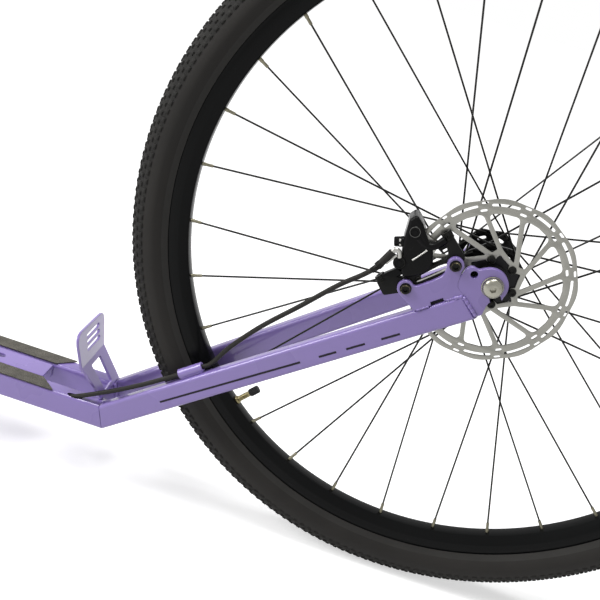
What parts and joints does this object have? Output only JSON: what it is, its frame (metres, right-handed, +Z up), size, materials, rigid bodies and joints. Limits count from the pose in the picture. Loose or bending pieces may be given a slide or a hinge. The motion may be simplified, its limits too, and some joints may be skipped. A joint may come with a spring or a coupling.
{
  "type": "kick bike",
  "caption": "Adult kick bike: two large spoked wheels, a low foot deck between twin rails, disc brakes front and rear, steering fork and riser bar.",
  "frame": {"origin": "on the floor, midway between the two axles and between the grips", "axes": "+X to the rear wheel, +Y to the rider's right, +Z up"},
  "size_m": [2.018, 0.6252, 1.0207],
  "materials": {
    "frame_paint": "lavender powder coat, satin gloss",
    "tyre": "black rubber with fine tread",
    "rim": "black anodised",
    "spokes": "black oxide",
    "valve_brass": "bare brass",
    "hub_black": "black anodised",
    "rotor_steel": "ground stainless",
    "bolt_black": "black oxide",
    "bolt_steel": "zinc plated",
    "axle_steel": "machined",
    "pad_lining": "sintered lining on a steel back",
    "hose_rubber": "smooth black",
    "grip_rubber": "matt black",
    "grip_strip": "coarse gritty strip, olive grey",
    "brake_black": "satin black",
    "cockpit_black": "black anodised"
  },
  "bodies": {
    "frame": {"left_deck_rail": "frame_paint", "right_deck_rail": "frame_paint", "left_chainstay": "frame_paint", "right_chainstay": "frame_paint", "left_dropout": "frame_paint", "right_dropout": "frame_paint", "deck_plate": "frame_paint", "left_grip_strip": "grip_strip", "right_grip_strip": "grip_strip", "heel_guard": "frame_paint", "kink_bridge": "frame_paint", "down_tube": "frame_paint", "head_tube": "frame_paint", "head_gusset": "frame_paint", "upper_headset_cup": "cockpit_black", "lower_headset_cup": "cockpit_black", "caliper_tab": "frame_paint", "rear_caliper_adapter": "brake_black", "rear_caliper": "brake_black", "rear_hose": "hose_rubber", "hose_guide": "frame_paint", "rear_axle": "axle_steel", "rear_axle_bolt_left": "bolt_steel", "rear_axle_bolt_right": "bolt_steel", "tab_front_bolt": "bolt_black", "tab_rear_bolt": "bolt_black"},
    "rear_wheel": {"rear_tyre": "tyre", "rear_rim": "rim", "rear_spokes": "spokes", "rear_valve": "valve_brass", "rear_hub": "hub_black", "rear_rotor": "rotor_steel", "rear_rotor_bolts": "bolt_black"},
    "front_wheel": {"front_tyre": "tyre", "front_rim": "rim", "front_spokes": "spokes", "front_valve": "valve_brass", "front_hub": "hub_black", "front_rotor": "rotor_steel", "front_rotor_bolts": "bolt_black"},
    "steering": {"fork": "frame_paint", "front_axle": "bolt_steel", "front_caliper_adapter": "brake_black", "front_caliper": "brake_black", "headset_spacer": "cockpit_black", "stem": "cockpit_black", "stem_faceplate": "cockpit_black", "stem_top_cap": "cockpit_black", "handlebar": "cockpit_black", "left_grip": "grip_rubber", "right_grip": "grip_rubber", "left_lever_body": "brake_black", "right_lever_body": "brake_black", "rear_hose_loop": "hose_rubber"},
    "left_lever": {"left_lever": "brake_black"},
    "right_lever": {"right_lever": "brake_black"},
    "rear_outer_pad": {"rear_outer_pad": "pad_lining"},
    "rear_inner_pad": {"rear_inner_pad": "pad_lining"},
    "front_outer_pad": {"front_outer_pad": "pad_lining"},
    "front_inner_pad": {"front_inner_pad": "pad_lining"}
  },
  "joints": [
    {"name": "steering_turn", "type": "hinge", "parent": "frame", "child": "steering", "pos_m": [-0.45887, 0, 0.8016], "axis": [0.309, 0, 0.9511], "range_deg": [-60, 60], "deforming": ["rear_hose_loop"]},
    {"name": "rear_wheel_spin", "type": "hinge", "parent": "frame", "child": "rear_wheel", "pos_m": [0.65, 0, 0.359], "axis": [0, 1, 0], "continuous": true},
    {"name": "front_wheel_spin", "type": "hinge", "parent": "steering", "child": "front_wheel", "pos_m": [-0.65, 0, 0.359], "axis": [0, 1, 0], "continuous": true},
    {"name": "left_lever_pull", "type": "hinge", "parent": "steering", "child": "left_lever", "pos_m": [-0.50683, -0.18342, 1.00267], "axis": [-0.0026, 0.0153, 0.9999], "range_deg": [0, 15], "stiffness_Nm_per_rad": 0.6},
    {"name": "right_lever_pull", "type": "hinge", "parent": "steering", "child": "right_lever", "pos_m": [-0.50683, 0.18342, 1.00267], "axis": [0.0026, 0.0153, -0.9999], "range_deg": [0, 15], "stiffness_Nm_per_rad": 0.6},
    {"name": "rear_outer_pad_press", "type": "slide", "parent": "frame", "child": "rear_outer_pad", "axis": [0, 1, 0], "range_m": [0, 0.00025]},
    {"name": "rear_inner_pad_press", "type": "slide", "parent": "frame", "child": "rear_inner_pad", "axis": [0, -1, 0], "range_m": [0, 0.00025]},
    {"name": "front_outer_pad_press", "type": "slide", "parent": "steering", "child": "front_outer_pad", "axis": [0, 1, 0], "range_m": [0, 0.00025]},
    {"name": "front_inner_pad_press", "type": "slide", "parent": "steering", "child": "front_inner_pad", "axis": [0, -1, 0], "range_m": [0, 0.00025]}
  ],
  "couplings": [
    {"joint": "rear_outer_pad_press", "follows": "right_lever_pull", "m_per_rad": 0.00095},
    {"joint": "rear_inner_pad_press", "follows": "right_lever_pull", "m_per_rad": 0.00095},
    {"joint": "front_outer_pad_press", "follows": "left_lever_pull", "m_per_rad": 0.00095},
    {"joint": "front_inner_pad_press", "follows": "left_lever_pull", "m_per_rad": 0.00095}
  ]
}
